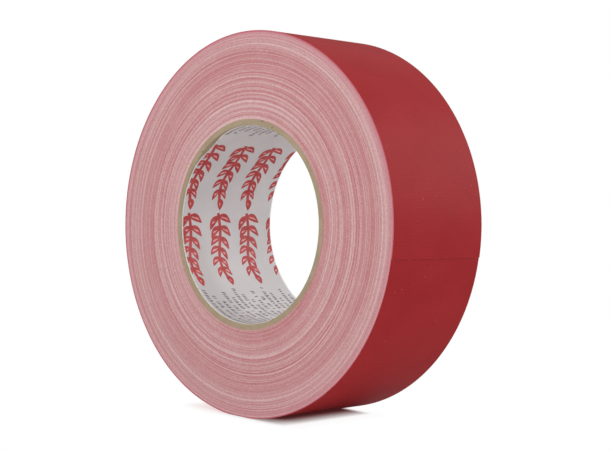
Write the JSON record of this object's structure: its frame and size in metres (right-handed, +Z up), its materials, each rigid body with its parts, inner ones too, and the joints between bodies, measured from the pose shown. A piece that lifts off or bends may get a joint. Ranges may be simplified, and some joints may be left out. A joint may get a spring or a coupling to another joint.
{
  "type": "duct tape roll",
  "caption": "Full roll of cloth-backed duct tape on a three-inch board core with a paper liner, standing on its edge; its free end peels off the outer turn.",
  "frame": {"origin": "centre of the core's bore, in the middle of the tape's width", "axes": "+Y along the bore, +Z up with the roll standing on its edge, +X towards the side where the cut end of the tape points down"},
  "size_m": [0.1485, 0.05, 0.1481],
  "materials": {
    "film": "satin",
    "cloth": "matte woven",
    "adhesive": "tacky satin",
    "winding": "matte, edges of the wound turns",
    "board": "matte",
    "liner": "smooth matte, printed"
  },
  "bodies": {
    "roll": {"printed_liner": "liner", "core_ply_1": "board", "core_ply_2": "board", "core_ply_3": "board", "core_ply_4": "board", "core_ply_5": "board", "wound_tape": "winding", "outer_turn_film": "film", "outer_turn_cloth": "cloth", "outer_turn_adhesive": "adhesive"},
    "tape_end_1": {"tape_end_1_film": "film", "tape_end_1_cloth": "cloth", "tape_end_1_adhesive": "adhesive"},
    "tape_end_2": {"tape_end_2_film": "film", "tape_end_2_cloth": "cloth", "tape_end_2_adhesive": "adhesive"},
    "tape_end_3": {"tape_end_3_film": "film", "tape_end_3_cloth": "cloth", "tape_end_3_adhesive": "adhesive"},
    "tape_end_4": {"tape_end_4_film": "film", "tape_end_4_cloth": "cloth", "tape_end_4_adhesive": "adhesive"},
    "tape_end_5": {"tape_end_5_film": "film", "tape_end_5_cloth": "cloth", "tape_end_5_adhesive": "adhesive"},
    "tape_end_6": {"tape_end_6_film": "film", "tape_end_6_cloth": "cloth", "tape_end_6_adhesive": "adhesive"}
  },
  "joints": [
    {"name": "peel_1", "type": "hinge", "parent": "roll", "child": "tape_end_1", "pos_m": [0.06467, 0, 0.03655], "axis": [0, -1, 0], "range_deg": [0, 18]},
    {"name": "peel_2", "type": "hinge", "parent": "tape_end_1", "child": "tape_end_2", "pos_m": [0.06814, 0, 0.0296], "axis": [0, -1, 0], "range_deg": [0, 18]},
    {"name": "peel_3", "type": "hinge", "parent": "tape_end_2", "child": "tape_end_3", "pos_m": [0.07086, 0, 0.02232], "axis": [0, -1, 0], "range_deg": [0, 18]},
    {"name": "peel_4", "type": "hinge", "parent": "tape_end_3", "child": "tape_end_4", "pos_m": [0.07281, 0, 0.01479], "axis": [0, -1, 0], "range_deg": [0, 18]},
    {"name": "peel_5", "type": "hinge", "parent": "tape_end_4", "child": "tape_end_5", "pos_m": [0.07396, 0, 0.00711], "axis": [0, -1, 0], "range_deg": [0, 18]},
    {"name": "peel_6", "type": "hinge", "parent": "tape_end_5", "child": "tape_end_6", "pos_m": [0.0743, 0, -0.00065], "axis": [0, -1, 0], "range_deg": [0, 18]}
  ],
  "couplings": [
    {"joint": "peel_2", "follows": "peel_1", "ratio": 1},
    {"joint": "peel_3", "follows": "peel_1", "ratio": 1},
    {"joint": "peel_4", "follows": "peel_1", "ratio": 1},
    {"joint": "peel_5", "follows": "peel_1", "ratio": 1},
    {"joint": "peel_6", "follows": "peel_1", "ratio": 1}
  ]
}
